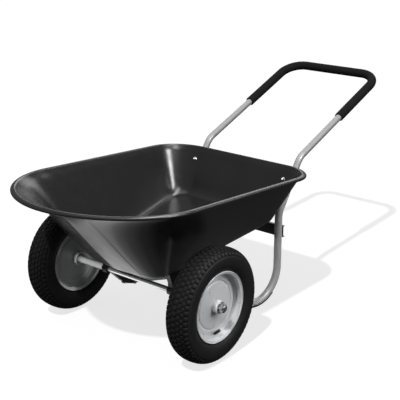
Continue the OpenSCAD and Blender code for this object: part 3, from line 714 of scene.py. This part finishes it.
def sweep(path, radius):
    """Rings round a path, whose radius may depend on the distance from its start and from its end."""
    lengths = [0.0]
    for a, b in zip(path, path[1:]):
        lengths.append(lengths[-1] + (b - a).length)
    turns = [2 * math.pi * k / GRIP_SEGMENTS for k in range(GRIP_SEGMENTS)]
    side = Vector((0, 0, 1))
    rings = []
    for i, p in enumerate(path):
        d = (path[min(i + 1, len(path) - 1)] - path[max(i - 1, 0)]).normalized()
        side = (side - d * side.dot(d)).normalized()
        up = d.cross(side)
        r = radius(lengths[i], lengths[-1] - lengths[i])
        rings.append([p + (side * math.cos(a) + up * math.sin(a)) * r for a in turns])
    return rings


def grip_radius(start, end):
    """Radius of the foam, which is rounded off at both ends."""
    near = min(start, end)
    return GRIP_R - GRIP_EDGE * max(0.0, 1 - near / GRIP_EDGE_STEPS[-1]) ** 2


def mirrored(p):
    return Vector((-p.x, p.y, p.z))


def make_grip():
    path = bent_path([GRIP_END, BAR_CORNER, mirrored(BAR_CORNER), mirrored(GRIP_END)], BAR_R)
    head = [path[0] + (path[1] - path[0]).normalized() * d for d in GRIP_EDGE_STEPS]
    tail = [path[-1] + (path[-2] - path[-1]).normalized() * d for d in reversed(GRIP_EDGE_STEPS)]
    path = head + path[1:-1] + tail
    bore = sweep(path, lambda start, end: GRIP_BORE)
    rings = [bore[0], *sweep(path, grip_radius), bore[-1], *bore[-2:0:-1]]
    verts, faces = strip(rings, closed_rings=True)
    obj = piece("foam_grip", [place(*v) for v in verts], faces, "foam", "cart", ["handle_grip"])


make_grip()


# Axle nuts with chamfered corners

NUT_X = 315.3
NUT_FLATS = 24
NUT_H = 12
NUT_BORE_R = 8.1
NUT_SEGMENTS = 72
NUT_FACE = 0.94
NUT_CUT_START = 0.96
NUT_CUT_SLOPE = 0.55
NUT_SPLIT_A = 28


def nut_mesh(sign):
    """Hexagon nut on one end of the axle, whose corners are cut by a cone at both ends."""
    at = Vector((sign * NUT_X, 0, AXLE_Z))
    z = Vector((sign, 0, 0)).normalized()
    x = z.orthogonal().normalized()
    y = z.cross(x)
    flat = NUT_FLATS / 2
    face = flat * NUT_FACE
    sections = []
    for k in range(NUT_SEGMENTS):
        a = 2 * math.pi * k / NUT_SEGMENTS
        corner = (math.degrees(a) % 60) - 30
        r = flat / math.cos(math.radians(corner))
        drop = (r - flat * NUT_CUT_START) * NUT_CUT_SLOPE
        way = x * math.cos(a) + y * math.sin(a)
        section = (
            (NUT_BORE_R, 0), (face, 0), (r, drop),
            (r, NUT_H - drop), (face, NUT_H), (NUT_BORE_R, NUT_H),
        )
        sections.append([at + way * radius + z * up for radius, up in section])
    return strip(list(zip(*sections)), closed_rings=True)


def make_axle_nuts():
    verts, faces = join([nut_mesh(sign) for sign in SIDES.values()])
    verts = [place(*v) for v in verts]
    obj = piece("axle_nuts_chamfered", verts, faces, "zinc_steel", "cart", ["axle_nuts"])
    mark = obj.modifiers.new("edges", "EDGE_SPLIT")
    mark.split_angle = math.radians(NUT_SPLIT_A)


make_axle_nuts()


# Floor, light and camera, in metres

GROUND_HALF = 30
GROUND_DROP = 0.0005
GLOW_Y = (-0.75, -0.25)
GLOW_Z = 0.003
GLOW_STRIPS = ((-0.5, -0.04, 1.12), (-0.04, 0.05, 0.5), (0.05, 0.14, 0.25), (0.14, 0.22, 0.08))
CAMERA_AT = (1.7443, -2.1993, 1.2918)
CAMERA_TURN = (71.0, 0, 39.22)
CAMERA_LENS = 82.8
CAMERA_SENSOR = 36
STUDIO_SHADES = (-0.4, 1.0, 0.07, 0.3)


def make_floor():
    mesh = bpy.data.meshes.new("floor")
    corners = [(x * GROUND_HALF, y * GROUND_HALF, 0) for x, y in ((-1, -1), (1, -1), (1, 1), (-1, 1))]
    mesh.from_pydata(corners, [], [(0, 1, 2, 3)])
    mesh.materials.append(floor_paint())
    obj = bpy.data.objects.new("floor", mesh)
    bpy.context.collection.objects.link(obj)
    obj.location.z = -GROUND_DROP
    obj.visible_glossy = False
    obj.visible_diffuse = False


def collect(name, starts=("",), without=()):
    """Collection of the pieces whose names begin so, for the soft boxes that light them alone."""
    found = bpy.data.collections.new(name)
    for obj in bpy.context.scene.objects:
        if obj.type == "MESH" and obj.name.startswith(starts) and not obj.name.startswith(without):
            found.objects.link(obj)
    return found


# Made before the floor, so that no soft box lights the floor
CART_ONLY = collect("cart_only")
NO_WHEELS = collect("no_wheels", without=("wheel",))
TRAY_ONLY = collect("tray_only", ("tray",))
TRAY_AND_AXLE = collect("tray_and_axle", ("tray", "axle"))
WHEELS_AND_LEGS = collect("wheels_and_legs", ("wheel", "leg", "hub", "brace"))
FRAME_ONLY = collect("frame_only", ("spacer", "hub", "bearing", "leg", "cross_brace"))
FASTENERS = collect(
    "fasteners", ("axle_nuts", "axle_washers", "wall_bolts", "brace_bolts", "rail_bolts"),
)


def area_light(name, at, target, size, power, in_gloss=True, in_matt=True, roll=0.0, lit=CART_ONLY):
    """Soft box, which may be kept out of glossy reflections or of matt shading."""
    light = bpy.data.lights.new(name, "AREA")
    light.shape = "RECTANGLE"
    light.size, light.size_y = size
    light.energy = power
    obj = bpy.data.objects.new(name, light)
    bpy.context.collection.objects.link(obj)
    obj.location = at
    obj.visible_camera = False
    obj.visible_glossy = in_gloss
    obj.visible_diffuse = in_matt
    obj.light_linking.receiver_collection = lit
    aim = (Vector(target) - obj.location).to_track_quat("-Z", "Y")
    obj.rotation_euler = (aim @ Quaternion((0, 0, 1), math.radians(roll))).to_euler()


def gloss_light(name, at, target, size, power, roll=0.0, lit=CART_ONLY):
    """Soft box that is seen in glossy reflections alone."""
    area_light(name, at, target, size, power, in_matt=False, roll=roll, lit=lit)


def matt_light(name, at, target, size, power, lit=CART_ONLY):
    """Soft box that lights matt shading alone."""
    area_light(name, at, target, size, power, in_gloss=False, lit=lit)


def floor_glow(x0, x1, strength):
    """Strip of the floor ahead of the cart that shines back at the front wall."""
    y0, y1 = GLOW_Y
    x, y, size = (x0 + x1) / 2, (y0 + y1) / 2, (x1 - x0, y1 - y0)
    power = strength * math.pi * size[0] * size[1]
    gloss_light("floor_glow", (x, y, GLOW_Z), (x, y, 1), size, power, lit=TRAY_AND_AXLE)


def sun_light(direction, power, angle):
    light = bpy.data.lights.new("sun", "SUN")
    light.energy = power
    light.angle = math.radians(angle)
    obj = bpy.data.objects.new("sun", light)
    bpy.context.collection.objects.link(obj)
    obj.rotation_euler = Vector(direction).to_track_quat("-Z", "Y").to_euler()
    obj.visible_glossy = False


def make_camera():
    data = bpy.data.cameras.new("camera")
    data.lens = CAMERA_LENS
    data.sensor_width = CAMERA_SENSOR
    obj = bpy.data.objects.new("camera", data)
    bpy.context.collection.objects.link(obj)
    obj.location = CAMERA_AT
    obj.rotation_euler = [math.radians(a) for a in CAMERA_TURN]
    bpy.context.scene.camera = obj


def make_world():
    """Dim studio, darker below the horizon than above it."""
    world = bpy.data.worlds.new("studio")
    world.use_nodes = True
    tree = world.node_tree
    background = tree.nodes["Background"]
    background.inputs["Strength"].default_value = 1.0
    split = tree.nodes.new("ShaderNodeSeparateXYZ")
    tree.links.new(tree.nodes.new("ShaderNodeTexCoord").outputs["Generated"], split.inputs["Vector"])
    tree.links.new(map_range(tree, split.outputs["Z"], STUDIO_SHADES), background.inputs["Color"])
    bpy.context.scene.world = world


make_floor()
make_camera()
bpy.context.scene.view_settings.view_transform = "Standard"
make_world()
sun_light((-0.13, 0.56, -0.82), 2.4, 1.5)
area_light("overhead", (0, -0.2, 3.2), (0, 0, 0.3), (2.4, 1.6), 16)
matt_light("side", (2.4, 0.35, 2.2), (-0.2, 0.05, 0.38), (0.55, 0.9), 26)
gloss_light("strip", (2.085, 0.325, 2.26), (-0.25, 0.08, 0.39), (0.6, 0.5), 38, -24)
matt_light("fill", (1.3, -1.7, 3.0), (0, 0, 0.35), (1.2, 1.2), 45, NO_WHEELS)
matt_light("front", (-0.15, -2.5, 0.4), (-0.1, -0.3, 0.25), (0.5, 0.5), 72, FRAME_ONLY)
area_light("back", (-1.75, 3.0, 1.75), (0, 0, 0.45), (3.0, 1.2), 22)
gloss_light("fillet", (0.66, 2.05, 2.25), (-0.19, -0.05, 0.285), (0.5, 0.5), 3.4, lit=TRAY_ONLY)
gloss_light("rim", (0.55, 0.23, 2.55), (0.25, -0.58, 0.49), (2.4, 0.6), 50, -30, TRAY_ONLY)
matt_light("right", (2.3, 1.3, 0.8), (0.25, -0.3, 0.2), (0.5, 0.5), 26, WHEELS_AND_LEGS)
gloss_light("sparkle_front", (-1.8, -1.9, 1.9), (0, 0.2, 0.4), (0.9, 0.9), 60, lit=FASTENERS)
gloss_light("sparkle_right", (2.1, 1.6, 1.5), (0.35, -0.35, 0.17), (0.8, 0.8), 40, lit=FASTENERS)
for glow_strip in GLOW_STRIPS:
    floor_glow(*glow_strip)
